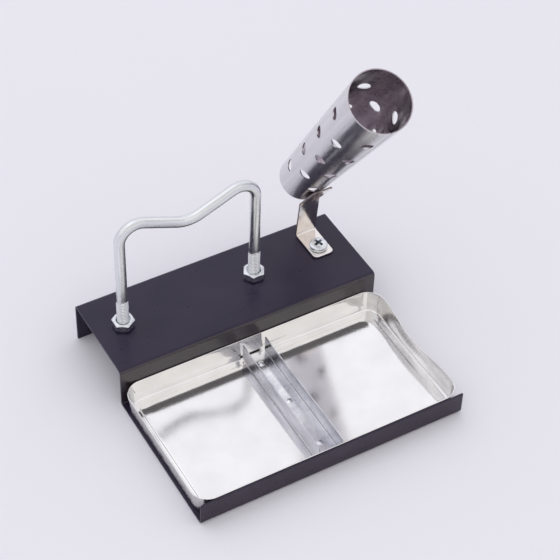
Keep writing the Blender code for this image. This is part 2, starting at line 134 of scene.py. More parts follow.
def loft(name, rings, closed=False):
    """Skin over rings of points, with a UV map in metres: u round the ring, v along the loft."""
    bm = bmesh.new()
    uv = bm.loops.layers.uv.new("flow")
    verts = [[bm.verts.new(p) for p in ring] for ring in rings]
    count = len(rings[0])
    around = [0.0]
    middle = rings[len(rings) // 2]
    for i in range(count):
        around.append(around[-1] + (Vector(middle[(i + 1) % count]) - Vector(middle[i])).length)
    run = [0.0]
    for a, b in zip(rings, rings[1:] + rings[:1]):
        step = (sum((Vector(q) for q in b), Vector()) - sum((Vector(p) for p in a), Vector())) / count
        run.append(run[-1] + step.length + 1e-6)
    pairs = len(rings) if closed else len(rings) - 1
    for r in range(pairs):
        a, b = verts[r], verts[(r + 1) % len(rings)]
        for i in range(count):
            j = (i + 1) % count
            face = bm.faces.new((a[i], a[j], b[j], b[i]))
            u0, u1, v0, v1 = around[i], around[i + 1], run[r], run[r + 1]
            spots = ((u0, v0), (u1, v0), (u1, v1), (u0, v1))
            for corner, spot in zip(face.loops, spots):
                corner[uv].uv = spot
    if not closed:
        bm.faces.new(verts[0])
        bm.faces.new(verts[-1])
    bmesh.ops.recalc_face_normals(bm, faces=bm.faces)
    mesh = bpy.data.meshes.new(name)
    bm.to_mesh(mesh)
    bm.free()
    return link(name, mesh)


def turned_rings(profile, sides, matrix):
    rings = []
    for r, z in profile:
        turn = [2 * math.pi * k / sides for k in range(sides)]
        rings.append([matrix @ Vector((r * math.cos(a), r * math.sin(a), z)) for a in turn])
    return rings


def carve(obj, tools):
    """Cut the tools out of an object for good, and delete them."""
    for tool in tools:
        mod = obj.modifiers.new("carve", "BOOLEAN")
        mod.object = tool
        mod.operation = "DIFFERENCE"
        mod.solver = "EXACT"
    bpy.context.view_layer.update()
    graph = bpy.context.evaluated_depsgraph_get()
    mesh = bpy.data.meshes.new_from_object(obj.evaluated_get(graph))
    old = obj.data
    obj.modifiers.clear()
    obj.data = mesh
    bpy.data.meshes.remove(old)
    for tool in tools:
        bpy.data.objects.remove(tool)


def peg(radius, matrix, length, sides=40):
    profile = [(radius, -length / 2), (radius, length / 2)]
    return loft("peg", turned_rings(profile, sides, matrix))


def along(point, direction):
    return Matrix.Translation(point) @ direction.to_track_quat("Z", "Y").to_matrix().to_4x4()


def rounded_path(corners, radii, steps, spacing=None):
    """(point, normal) pairs along a flat path with rounded corners; long runs are split by spacing."""
    stations = []

    def straight(a, b, normal):
        pieces = max(1, int((b - a).length / spacing)) if spacing else 1
        for k in range(pieces):
            stations.append((a.lerp(b, k / pieces), normal))

    cursor = Vector(corners[0])
    for i in range(1, len(corners) - 1):
        here = Vector(corners[i])
        d_in = (here - Vector(corners[i - 1])).normalized()
        d_out = (Vector(corners[i + 1]) - here).normalized()
        turn = math.atan2(d_in.cross(d_out), d_in.dot(d_out))
        side = math.copysign(1.0, turn)
        n_in = Vector((-d_in.y, d_in.x))
        start = here - d_in * radii[i - 1] * math.tan(abs(turn) / 2)
        centre = start + n_in * radii[i - 1] * side
        straight(cursor, start, n_in)
        for k in range(steps):
            n = Matrix.Rotation(turn * k / steps, 2) @ n_in
            stations.append((centre - n * radii[i - 1] * side, n))
        n = Matrix.Rotation(turn, 2) @ n_in
        cursor = centre - n * radii[i - 1] * side
        last_n = n
    straight(cursor, Vector(corners[-1]), last_n)
    stations.append((Vector(corners[-1]), last_n))
    return stations


def strip_section(path, thickness, shrink, edge):
    """Outline of a bent strip, its two ends rounded by edge and all of it shrunk a little."""
    half = thickness / 2 - shrink
    points = list(path)
    (p0, n0), (p1, n1) = points[0], points[-1]
    d0 = (points[1][0] - p0).normalized()
    d1 = (points[-2][0] - p1).normalized()
    left = []
    right = []
    arc = [math.radians(a) for a in (90, 60, 30, 0)]

    def rounding(p, n, d):
        centre = p + d * (shrink + edge)
        return [(centre - d * edge * math.sin(a), n * (half - edge + edge * math.cos(a))) for a in arc]

    for spot, out in rounding(p0, n0, d0):
        left.append(spot + out)
        right.append(spot - out)
    for p, n in points[1:-1]:
        left.append(p + n * half)
        right.append(p - n * half)
    for spot, out in reversed(rounding(p1, n1, d1)):
        left.append(spot + out)
        right.append(spot - out)
    return left + right[::-1]


def ripple(p, size, amount, seed):
    """A slow wave in a thin sheet."""
    return amount * noise.noise(Vector(p) / size + Vector((seed, 2 * seed, 3 * seed)))


# ---------------------------------------------------------------- materials

class Mat:
    """A Principled material with a few helpers for procedural detail."""

    def __init__(self, name, colour, metallic, roughness):
        self.mat = bpy.data.materials.new(name)
        self.mat.use_nodes = True
        self.nodes = self.mat.node_tree.nodes
        self.links = self.mat.node_tree.links
        self.shader = self.nodes["Principled BSDF"]
        self.shader.inputs["Base Color"].default_value = (*colour, 1)
        self.shader.inputs["Metallic"].default_value = metallic
        self.shader.inputs["Roughness"].default_value = roughness

    def add(self, kind, **values):
        node = self.nodes.new(kind)
        for key, value in values.items():
            if key in node.inputs:
                node.inputs[key].default_value = value
            else:
                setattr(node, key, value)
        return node

    def plug(self, out, socket):
        self.links.new(out, socket)

    def coords(self, stretch=(1, 1, 1), source="Object"):
        coord = self.add("ShaderNodeTexCoord")
        mapping = self.add("ShaderNodeMapping")
        mapping.inputs["Scale"].default_value = stretch
        self.plug(coord.outputs[source], mapping.inputs["Vector"])
        return mapping.outputs["Vector"]

    def noise(self, scale, detail=3, stretch=(1, 1, 1), source="Object", rough=0.5):
        tex = self.add("ShaderNodeTexNoise", Scale=scale, Detail=detail, Roughness=rough)
        self.plug(self.coords(stretch, source), tex.inputs["Vector"])
        return tex.outputs["Fac"]

    def depth(self):
        """How far back a place is, in metres."""
        split = self.add("ShaderNodeSeparateXYZ")
        self.plug(self.coords(), split.inputs["Vector"])
        return split.outputs["Y"]

    def ramp(self, value, stops):
        node = self.add("ShaderNodeValToRGB")
        elements = node.color_ramp.elements
        while len(elements) < len(stops):
            elements.new(0.5)
        for element, (place, colour) in zip(elements, stops):
            element.position = place
            element.color = (*colour, 1)
        self.plug(value, node.inputs["Fac"])
        return node.outputs["Color"]

    def span(self, value, low, high, to_low, to_high):
        node = self.add("ShaderNodeMapRange")
        for key, number in (("From Min", low), ("From Max", high), ("To Min", to_low), ("To Max", to_high)):
            node.inputs[key].default_value = number
        self.plug(value, node.inputs["Value"])
        return node.outputs["Result"]

    def maths(self, operation, a, b):
        node = self.add("ShaderNodeMath", operation=operation)
        for socket, value in zip(node.inputs, (a, b)):
            if isinstance(value, (int, float)):
                socket.default_value = value
            else:
                self.plug(value, socket)
        return node.outputs["Value"]

    def colour(self, socket):
        self.plug(socket, self.shader.inputs["Base Color"])

    def roughness(self, socket):
        self.plug(socket, self.shader.inputs["Roughness"])

    def bump(self, height, distance, strength=1.0):
        node = self.add("ShaderNodeBump", Strength=strength, Distance=distance)
        self.plug(height, node.inputs["Height"])
        if self.shader.inputs["Normal"].is_linked:
            self.plug(self.shader.inputs["Normal"].links[0].from_socket, node.inputs["Normal"])
        self.plug(node.outputs["Normal"], self.shader.inputs["Normal"])


def powder_coat():
    m = Mat("black_powder_coat", (0.021, 0.015, 0.038), 0.0, 0.32)
    cloud = m.noise(45, 4)
    m.colour(m.ramp(cloud, [(0.3, (0.018, 0.013, 0.033)), (0.7, (0.025, 0.018, 0.043))]))
    m.roughness(m.span(m.noise(120, 5), 0.3, 0.7, 0.27, 0.37))
    m.bump(m.noise(2600, 2), 0.00003, 0.35)
    m.bump(m.noise(160, 2), 0.00008, 0.25)
    m.shader.inputs["Specular IOR Level"].default_value = 0.33
    return m.mat


def upright_coat_lit_copy(name, thin, thick, gloss):
    """The black coat on the step wall and on the lip, smoother than on the deck; its colours make lit and
    shaded copies of the deck's coat: painted light, the step wall's browner colour a painted reflection of
    the tray.
    """
    m = Mat(name, thin, 0.0, 0.24)
    m.colour(m.ramp(m.noise(45, 4), [(0.3, thin), (0.7, thick)]))
    m.roughness(m.span(m.noise(120, 5), 0.3, 0.7, 0.19, 0.30))
    m.bump(m.noise(2600, 2), 0.00003, 0.25)
    m.shader.inputs["Specular IOR Level"].default_value = gloss
    return m.mat


def tinplate():
    m = Mat("tinplate", (0.90, 0.89, 0.875), 1.0, 0.12)
    stain = m.noise(60, 4)
    m.colour(m.ramp(stain, [(0.35, (0.87, 0.86, 0.85)), (0.65, (0.93, 0.925, 0.91))]))
    grain = m.noise(1500, 3, rough=0.6)
    m.roughness(m.span(m.maths("ADD", grain, m.noise(70, 3)), 0.7, 1.3, 0.07, 0.12))
    m.bump(m.maths("MULTIPLY", m.depth(), FLOOR_SLOPE), 1.0)
    m.bump(grain, 0.000012)
    m.bump(m.noise(55, 1), 0.00002, 0.25)
    return m.mat


def painted_shade_metal(name, dark, light):
    """Darker, rougher metal for the sides of the tray and of its divider and for the screw's cross recess;
    its darker colour is painted shade.
    """
    m = Mat(name, light, 1.0, 0.24)
    cloud = m.noise(130, 4, (1, 0.3, 1))
    m.colour(m.ramp(cloud, [(0.3, dark), (0.7, light)]))
    m.roughness(m.span(m.noise(400, 4), 0.3, 0.7, 0.18, 0.30))
    m.bump(m.noise(900, 3), 0.00001, 0.5)
    return m.mat


def channel_tin():
    m = Mat("channel_tin", (0.86, 0.86, 0.87), 1.0, 0.14)
    stain = m.noise(90, 4)
    m.colour(m.ramp(stain, [(0.35, (0.58, 0.58, 0.62)), (0.60, (0.90, 0.90, 0.91))]))
    m.roughness(m.span(m.noise(600, 4), 0.3, 0.7, 0.11, 0.20))
    m.bump(m.noise(1500, 3), 0.000012)
    return m.mat


def zinc_wire():
    m = Mat("zinc_wire", (0.80, 0.83, 0.86), 1.0, 0.24)
    streak = m.noise(900, 3, (1, 0.03, 1), "UV")
    m.colour(m.ramp(streak, [(0.3, (0.60, 0.62, 0.64)), (0.7, (0.90, 0.91, 0.92))]))
    m.roughness(m.span(m.noise(300, 4, (1, 0.2, 1), "UV"), 0.3, 0.7, 0.20, 0.34))
    m.bump(streak, 0.00003, 0.5)
    return m.mat


def zinc_plate():
    m = Mat("zinc_plate", (0.78, 0.80, 0.83), 1.0, 0.26)
    cloud = m.noise(500, 5)
    m.colour(m.ramp(cloud, [(0.3, (0.66, 0.68, 0.72)), (0.7, (0.84, 0.86, 0.88))]))
    m.roughness(m.span(m.noise(900, 4), 0.3, 0.7, 0.18, 0.36))
    m.bump(m.noise(1800, 3), 0.00002, 0.4)
    return m.mat


def nickel():
    m = Mat("nickel_plate", (0.85, 0.80, 0.77), 1.0, 0.16)
    cloud = m.noise(220, 4)
    m.colour(m.ramp(cloud, [(0.3, (0.81, 0.76, 0.725)), (0.7, (0.89, 0.85, 0.82))]))
    m.roughness(m.span(m.noise(500, 4), 0.3, 0.7, 0.10, 0.22))
    m.bump(m.noise(350, 2), 0.00004, 0.4)
    return m.mat


def sheared_edge_and_shade_steel():
    """Dull dark brown steel: the strap's cut edges, partly their own unplated finish and partly painted
    shade; the tab's face under the tube, painted shade; and the rivets, given the same dark brown.
    """
    m = Mat("sheared_edge_and_shade", (0.24, 0.20, 0.20), 1.0, 0.45)
    grain = m.noise(900, 3, (1, 1, 0.3))
    m.colour(m.ramp(grain, [(0.3, (0.17, 0.14, 0.14)), (0.7, (0.32, 0.27, 0.26))]))
    m.roughness(m.span(m.noise(700, 3), 0.3, 0.7, 0.36, 0.52))
    m.bump(grain, 0.00003, 0.5)
    return m.mat


def tube_bore():
    """The unpolished inside of the tube, a little rougher than the outside; its darker, purplish colour is
    painted shade.
    """
    m = Mat("tube_bore", (0.50, 0.44, 0.48), 1.0, 0.26)
    cloud = m.noise(70, 3)
    m.colour(m.ramp(cloud, [(0.3, (0.43, 0.37, 0.41)), (0.7, (0.57, 0.51, 0.55))]))
    m.roughness(m.span(m.noise(200, 3), 0.3, 0.7, 0.22, 0.31))
    m.bump(m.noise(400, 2), 0.00002, 0.4)
    return m.mat


def tube_steel():
    m = Mat("bright_steel", (0.72, 0.71, 0.73), 1.0, 0.22)
    streak = m.noise(350, 4, (1, 0.04, 1), "UV")
    m.colour(m.ramp(streak, [(0.3, (0.64, 0.63, 0.65)), (0.7, (0.74, 0.73, 0.75))]))
    m.roughness(m.span(m.noise(260, 4, (1, 0.15, 1), "UV"), 0.3, 0.7, 0.20, 0.29))
    m.bump(streak, 0.00001, 0.4)
    return m.mat


def table_top():
    m = Mat("pale_table", (0.835, 0.83, 0.875), 0.0, 0.7)
    m.colour(m.ramp(m.noise(3, 3), [(0.3, (0.83, 0.825, 0.87)), (0.7, (0.84, 0.835, 0.88))]))
    m.shader.inputs["Specular IOR Level"].default_value = 0.2
    return m.mat


# ---------------------------------------------------------------- read the frame

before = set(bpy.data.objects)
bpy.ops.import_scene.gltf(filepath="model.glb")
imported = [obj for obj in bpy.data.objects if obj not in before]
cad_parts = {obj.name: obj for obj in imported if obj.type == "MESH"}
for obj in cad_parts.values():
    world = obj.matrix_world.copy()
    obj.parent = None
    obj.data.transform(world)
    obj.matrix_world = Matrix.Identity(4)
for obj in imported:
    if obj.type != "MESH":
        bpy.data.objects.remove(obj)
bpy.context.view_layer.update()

PLATE_LOW, PLATE_HIGH = (Vector(p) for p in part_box("base_plate"))
TRAY_LOW, TRAY_HIGH = (Vector(p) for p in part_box("tray_pan"))
CHANNEL_LOW, CHANNEL_HIGH = (Vector(p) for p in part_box("tray_divider"))
REST_LOW, REST_HIGH = (Vector(p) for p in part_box("wire_rest"))
STRAP_LOW, STRAP_HIGH = (Vector(p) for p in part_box("holder_bracket"))
SCREW_LOW, SCREW_HIGH = (Vector(p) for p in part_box("bracket_screw"))
TUBE_LOW, TUBE_HIGH = (Vector(p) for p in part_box("holder_tube"))

DECK = PLATE_HIGH.z
WIRE_Y = (REST_LOW.y + REST_HIGH.y) / 2
LEGS = (REST_LOW.x + THREAD_RADIUS, REST_HIGH.x - THREAD_RADIUS)
SCREW_X = (SCREW_LOW.x + SCREW_HIGH.x) / 2
SCREW_Y = (SCREW_LOW.y + SCREW_HIGH.y) / 2
STEP_Y = TRAY_HIGH.y + CLEAR                 # front of the step wall
LIP_TOP = TRAY_HIGH.z - 0.1 * MM


# ---------------------------------------------------------------- base

def base_sheet(mat, step_mat, lip_mat):
    half = BASE_SHEET / 2
    front, back = PLATE_LOW.y, PLATE_HIGH.y
    end = PLATE_HIGH.x
    edge = 0.22 * MM
    shrinks = [(0.0, edge), (0.3 * edge, 0.3 * edge), (edge, 0.0)]
    places = [(-end + run, shrink) for run, shrink in shrinks]
    places += [(-end + LIP_CORNER * k / 10, 0.0) for k in range(2, 11)]
    places += [(0.0, 0.0)]
    places += [(end - run, shrink) for run, shrink in reversed(shrinks)]
    rings = []
    for x, shrink in places:
        into = x + end
        drop = 0.0
        if into < LIP_CORNER:
            drop = LIP_CORNER - math.sqrt(LIP_CORNER ** 2 - (LIP_CORNER - into) ** 2)
        corners = [
            (front + half, LIP_TOP - drop),
            (front + half, half),
            (STEP_Y + half, half),
            (STEP_Y + half, DECK - half),
            (back - half, DECK - half),
            (back - half, 0.0),
        ]
        path = rounded_path(corners, [BASE_BEND] * 4, 10)
        section = strip_section(path, BASE_SHEET, shrink, edge)
        rings.append([(x, p.x, p.y) for p in section])
    obj = loft("base_sheet", rings)
    pegs = [peg(THREAD_RADIUS + CLEAR, Matrix.Translation((x, WIRE_Y, DECK)), 4 * BASE_SHEET) for x in LEGS]
    pegs.append(peg(SCREW_RADIUS + CLEAR, Matrix.Translation((SCREW_X, SCREW_Y, DECK)), 4 * BASE_SHEET))
    carve(obj, pegs)
    finish_mesh(obj, 35)
    obj.data.materials.append(mat)
    obj.data.materials.append(step_mat)
    obj.data.materials.append(lip_mat)
    # The step wall and the lip get their own copies of the black coat, coloured apart from the deck: painted
    # light.
    for face in obj.data.polygons:
        if face.normal.y < -0.7 and face.center.y < STEP_Y + BASE_SHEET:
            face.material_index = 1 if face.center.y > front + BASE_SHEET else 2
    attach(obj, "base")
    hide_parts("base_plate")


# ---------------------------------------------------------------- tray

def tray_dent(y, share):
    middle = (TRAY_LOW.y + TRAY_HIGH.y) / 2 + TRAY_DENT_CENTRE
    t = abs(y - middle) / (TRAY_DENT_LENGTH / 2)
    return 0.0 if t >= 1 else TRAY_DENT * share * 0.5 * (1 + math.cos(math.pi * t))


def tray_ring(inset, z):
    x = TRAY_HIGH.x - inset
    front, back = TRAY_LOW.y + inset, TRAY_HIGH.y - inset
    r = TRAY_CORNER - inset
    share = min(max((z - TRAY_LOW.z) / (TRAY_HIGH.z - TRAY_LOW.z), 0), 1)
    bends = ((x - r, front + r, -90), (x - r, back - r, 0), (-x + r, back - r, 90), (-x + r, front + r, 180))
    flat = []
    for i, (cx, cy, start) in enumerate(bends):
        for k in range(17):
            a = math.radians(start + 90 * k / 16)
            flat.append(Vector((cx + r * math.cos(a), cy + r * math.sin(a))))
        nx, ny, angle = bends[(i + 1) % 4]
        a = math.radians(angle)
        target = Vector((nx + r * math.cos(a), ny + r * math.sin(a)))
        here = flat[-1].copy()
        for k in range(1, 32):
            flat.append(here.lerp(target, k / 32))
    ring = []
    for p in flat:
        bow = tray_dent(p.y, share) if p.x > x - 1e-6 else 0.0
        ring.append((p.x - bow, p.y, z))
    return ring


def shrunk(ring, share):
    """The same ring drawn in towards the middle of the tray."""
    middle = Vector((0, (TRAY_LOW.y + TRAY_HIGH.y) / 2, 0))
    return [(p[0] * share, middle.y + (p[1] - middle.y) * share, p[2]) for p in ring]


def tray_side(offset):
    """(inset, z) from the middle of the floor out to the rim: offset 0 outside, the sheet inside."""
    low = TRAY_LOW.z
    r = TRAY_FOOT - offset
    turn = TRAY_FLARE + TRAY_FOOT
    panel = turn + TRAY_GUTTER
    slope = 1.0 * MM
    points = []
    for k in range(7):
        t = k / 6
        ease = t * t * (3 - 2 * t)
        points.append((panel + slope * (1 - t), low + offset + TRAY_PANEL_RISE * (1 - ease)))
    points.append((turn + 0.3 * MM, low + offset))
    for k in range(9):
        a = math.radians(86 * k / 8)
        points.append((turn - r * math.sin(a), low + TRAY_FOOT - r * math.cos(a)))
    top = TRAY_HIGH.z - 0.15 * MM
    start = points[-1]
    for k in range(1, 7):
        points.append((start[0] + (offset - start[0]) * k / 6, start[1] + (top - start[1]) * k / 6))
    return points


def tray_shell(mat, side_shade_mat):
    outside = tray_side(0.0)
    inside = tray_side(TRAY_SHEET)
    rim = []
    for k in range(1, 6):
        a = math.radians(180 * k / 6)
        rim.append((TRAY_SHEET / 2 * (1 - math.cos(a)), TRAY_HIGH.z - 0.15 * MM * (1 - math.sin(a))))
    profile = outside + rim + inside[::-1]
    rings = [tray_ring(inset, z) for inset, z in profile]
    under = [shrunk(rings[0], share) for share in (0.05, 0.3, 0.6, 0.8, 0.93)]
    over = [shrunk(rings[-1], share) for share in (0.93, 0.8, 0.6, 0.3, 0.05)]
    obj = loft("tray_shell", under + rings + over)
    finish_mesh(obj, 60, weighted=False)
    obj.data.materials.append(mat)
    obj.data.materials.append(side_shade_mat)
    # Faces pointing sideways above the foot get the darker side material: painted shade on the tray's side
    # walls.
    for face in obj.data.polygons:
        if abs(face.normal.x) > 0.5 and face.center.z > TRAY_LOW.z + TRAY_FOOT:
            face.material_index = 1
    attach(obj, "tray")
    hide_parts("tray_pan")


def divider_channel(mat, side_shade_mat):
    half = CHANNEL_SHEET / 2
    side = CHANNEL_HIGH.x - half
    low, top = CHANNEL_LOW.z + half, CHANNEL_HIGH.z
    edge = 0.12 * MM
    corners = [(-side, top), (-side, low), (side, low), (side, top)]
    path = rounded_path(corners, [2.2 * half] * 2, 6, spacing=0.45 * MM)
    middle = (TRAY_LOW.y + TRAY_HIGH.y) / 2
    run = CHANNEL_HIGH.y - CHANNEL_LOW.y
    stations = [(CHANNEL_LOW.y, edge), (CHANNEL_LOW.y + edge, 0.0)]
    count = 160
    stations += [(CHANNEL_LOW.y + run * k / count, 0.0) for k in range(1, count)]
    stations += [(CHANNEL_HIGH.y - edge, 0.0), (CHANNEL_HIGH.y, edge)]
    rings = []
    for y, shrink in stations:
        ring = []
        for p in strip_section(path, CHANNEL_SHEET, shrink, edge * 0.8):
            lift = 0.0
            for place in NUB_PLACES:
                away = math.hypot(p.x, y - middle - place) / NUB_RADIUS
                if away < 1 and p.y > low:
                    lift += NUB_HEIGHT * math.cos(away * math.pi / 2) ** 1.3
            sway = ripple((0, y, p.y), 0.02, 0.10 * MM, 5.3) * (p.y - low) / (top - low)
            ring.append((p.x + sway, y, p.y + lift))
        rings.append(ring)
    obj = loft("divider_channel", rings)
    finish_mesh(obj, 40)
    obj.data.materials.append(mat)
    obj.data.materials.append(side_shade_mat)
    # The channel's walls, facing sideways, get the darker side material: painted shade.
    for face in obj.data.polygons:
        if abs(face.normal.x) > 0.7:
            face.material_index = 1
    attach(obj, "tray")
    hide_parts("tray_divider")


# ---------------------------------------------------------------- threads, wire rest, nuts

def thread_radius(z, angle, pitch, outer, depth):
    """Rolled thread: rounded crests and roots on a helix."""
    phase = (z / pitch - angle / (2 * math.pi)) % 1.0
    wave = abs(2 * phase - 1)
    wave = min(max((wave - 0.1) / 0.8, 0), 1)
    return outer - depth * wave


def leg_radius(z, angle, forward):
    """Radius of the wire on its threaded part, fading into the plain wire and the chamfered end."""
    top = DECK + THREAD_TOP + RUN_OUT_TILT * forward
    cut = thread_radius(z, angle, THREAD_PITCH, THREAD_RADIUS, THREAD_DEPTH)
    fade = min(max((z - top + 0.5 * MM) / (1.0 * MM), 0), 1)
    radius = cut + (WIRE_RADIUS - cut) * fade
    into = (z - REST_LOW.z) / (0.9 * MM)
    if into < 1:
        radius = min(radius, THREAD_RADIUS - 0.7 * MM * (1 - into))
    return radius


def rest_wire(mat):
    left, right = LEGS
    low = REST_LOW.z
    middle = (left + right) / 2
    hump, dip = DECK + HUMP_CORNER, DECK + DIP_CORNER
    corners = [(left, low), (left, hump), (middle, dip), (right, hump), (right, low)]
    path = rounded_path(corners, [HUMP_RADIUS, DIP_RADIUS, HUMP_RADIUS], 18)
    first_bend, last_bend = path[1], path[-2]
    thread_top = DECK + THREAD_TOP + RUN_OUT_TILT + 0.8 * MM
    steps = int((thread_top - low) / (THREAD_PITCH / 9))
    heights = [low + (thread_top - low) * k / steps for k in range(steps + 1)]
    sides = 40

    def ring(p, n, radius):
        points = []
        for k in range(sides):
            a = 2 * math.pi * k / sides
            r = radius(a)
            flat = p + n * r * math.cos(a)
            points.append((flat.x, WIRE_Y + r * math.sin(a), flat.y))
        return points

    def leg(x, bend, z, hand):
        return ring(Vector((x, z)), bend[1], lambda a: leg_radius(z, hand * a, -math.sin(a)))

    rings = [leg(left, first_bend, z, 1) for z in heights]
    straight = (Vector((left, heights[-1])), path[1][0])
    for k in range(1, 8):
        rings.append(ring(straight[0].lerp(straight[1], k / 8), first_bend[1], lambda a: WIRE_RADIUS))
    for p, n in path[1:-1]:
        rings.append(ring(p, n, lambda a: WIRE_RADIUS))
    straight = (path[-2][0], Vector((right, heights[-1])))
    for k in range(1, 8):
        rings.append(ring(straight[0].lerp(straight[1], k / 8), last_bend[1], lambda a: WIRE_RADIUS))
    rings += [leg(right, last_bend, z, -1) for z in heights[::-1]]
    obj = loft("rest_wire", rings)
    finish_mesh(obj, 60)
    obj.data.materials.append(mat)
    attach(obj, "rest")
    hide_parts("wire_rest")


def hex_nut(name, node, mat, bore):
    """Hexagon nut with 30 degree chamfers cut by a cone, softened edges and a countersunk bore."""
    low, high = (Vector(p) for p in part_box(node))
    centre = (low + high) / 2
    height = high.z - low.z
    flat = min(high.x - low.x, high.y - low.y) / 2
    first = 30 if high.x - low.x < high.y - low.y else 0      # bearing of the first flat
    limit = math.radians(27.5)
    angles = []
    for side in range(6):
        for t in (-1, -0.93, -0.75, -0.5, -0.25, 0, 0.25, 0.5, 0.75, 0.93, 1):
            angles.append((math.radians(60 * side + first) + limit * t, limit * t))
    cone = flat * NUT_CHAMFER

    def ring(radius, z):
        points = []
        for a, t in angles:
            out = radius(t)
            points.append((centre.x + out * math.sin(a), centre.y + out * math.cos(a), low.z + z(t)))
        return points

    def hexagon(t):
        return flat / math.cos(t)

    def drop(t):
        return (hexagon(t) - cone) * math.tan(math.radians(30))

    soft = 0.10 * MM
    rings = [
        ring(lambda t: bore, lambda t: NUT_SINK),
        ring(lambda t: bore + NUT_SINK, lambda t: 0),
        ring(lambda t: cone - soft, lambda t: 0),
        ring(lambda t: cone + soft, lambda t: soft * 0.4),
        ring(lambda t: hexagon(t) - soft, lambda t: drop(t) - soft * 0.3),
        ring(hexagon, lambda t: drop(t) + soft),
        ring(hexagon, lambda t: height - drop(t) - soft),
        ring(lambda t: hexagon(t) - soft, lambda t: height - drop(t) + soft * 0.3),
        ring(lambda t: cone + soft, lambda t: height - soft * 0.4),
        ring(lambda t: cone - soft, lambda t: height),
        ring(lambda t: bore + NUT_SINK, lambda t: height),
        ring(lambda t: bore, lambda t: height - NUT_SINK),
    ]
    obj = loft(name, rings, closed=True)
    finish_mesh(obj, 24)
    obj.data.materials.append(mat)
    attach(obj, "base")
    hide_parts(node)


# ---------------------------------------------------------------- strap and its fasteners

TUBE_TAPER = math.atan2(TUBE_MOUTH - TUBE_TAIL, TUBE_LENGTH)
TAB_TILT = TUBE_TILT - TUBE_TAPER
TAB_UP = Vector((0, -math.cos(TAB_TILT), math.sin(TAB_TILT)))
TAB_BACK = Vector((0, math.sin(TAB_TILT), math.cos(TAB_TILT)))
RISER_Y = SCREW_Y + RISER_BACK
TAB_TURN = Vector((SCREW_X, RISER_Y - RISER_LEAN, DECK + STRAP_RISE))


def strap(mat, edge_and_shade_mat):
    half = STRAP_SHEET / 2
    foot = STRAP_LOW.z + half
    reach = (STRAP_HIGH.z - half * TAB_BACK.z - TAB_TURN.z) / TAB_UP.z
    tab_end = TAB_TURN + TAB_UP * reach
    toe = SCREW_Y - FOOT_FRONT
    corners = [(toe, foot), (RISER_Y, foot), (TAB_TURN.y, TAB_TURN.z), (tab_end.y, tab_end.z)]
    path = rounded_path(corners, [1.5 * STRAP_SHEET] * 2, 10, spacing=0.6 * MM)
    length = [0.0]
    for (a, _), (b, _) in zip(path, path[1:]):
        length.append(length[-1] + (b - a).length)
    edge = 0.18 * MM
    wide = (STRAP_HIGH.x - STRAP_LOW.x) / 2
    arc = [math.radians(a) for a in (0, 30, 60, 90)]
    rings = []
    for (p, n), s in zip(path, length):
        from_end = min(s, length[-1] - s)
        w = wide
        if from_end < STRAP_CORNER:
            w = wide - STRAP_CORNER + math.sqrt(max(STRAP_CORNER ** 2 - (STRAP_CORNER - from_end) ** 2, 0))
        t = half - (edge if from_end < edge / 4 else 0)
        ring = []
        for sx, sn in ((1, 1), (-1, 1), (-1, -1), (1, -1)):
            order = arc if sx * sn > 0 else arc[::-1]
            for a in order:
                x = sx * (w - edge + edge * math.cos(a))
                h = sn * (t - edge + edge * math.sin(a))
                q = p + n * h
                ring.append((SCREW_X + x, q.x, q.y))
        rings.append(ring)
    obj = loft("holder_strap", rings)
    tools = [peg(SCREW_RADIUS + CLEAR, Matrix.Translation((SCREW_X, SCREW_Y, DECK)), 6 * STRAP_SHEET)]
    tools += [peg(RIVET_RADIUS + CLEAR, rivet_frame(i), 6 * STRAP_SHEET) for i in range(len(RIVET_PLACES))]
    carve(obj, tools)
    finish_mesh(obj, 40)
    obj.data.materials.append(mat)
    obj.data.materials.append(edge_and_shade_mat)
    # Cut edges get the dark brown, partly their unplated finish and partly painted shade; the tab's face
    # under the tube gets it as painted shade.
    for face in obj.data.polygons:
        on_tab = (face.center - TAB_TURN).dot(TAB_UP)
        cut_side = abs(face.normal.x) > 0.4
        cut_end = on_tab > reach - STRAP_CORNER and abs(face.normal.dot(TAB_BACK)) < 0.9
        under_tube = on_tab > 0 and face.center.z > TAB_TURN.z and face.normal.dot(TAB_BACK) > 0.9
        if cut_side or cut_end or under_tube:
            face.material_index = 1
    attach(obj, "holder")
    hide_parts("holder_bracket")


def rivet_frame(i):
    return along(TAB_TURN + TAB_UP * RIVET_PLACES[i], TAB_BACK)


def strap_rivet(i, mat):
    node = f"tube_rivet_{i + 1}"
    head = STRAP_SHEET / 2 + CLEAR
    inner = head + TUBE_WALL + 2 * CLEAR
    profile = [(0.02 * MM, -head - RIVET_HEAD_HEIGHT)]
    for k in range(1, 10):
        a = math.radians(10 * k)
        profile.append((RIVET_HEAD_RADIUS * math.sin(a), -head - RIVET_HEAD_HEIGHT * math.cos(a)))
    profile += [(RIVET_HEAD_RADIUS, -head), (RIVET_RADIUS, -head), (RIVET_RADIUS, inner), (1.7 * MM, inner)]
    for k in range(1, 9):
        a = math.radians(10 * k)
        profile.append((RIVET_TAIL_RADIUS * math.cos(a), inner + RIVET_TAIL_HEIGHT * math.sin(a)))
    obj = loft(f"strap_rivet_{i + 1}", turned_rings(profile, 40, rivet_frame(i)))
    finish_mesh(obj, 45)
    obj.data.materials.append(mat)
    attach(obj, "holder")
    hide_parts(node)


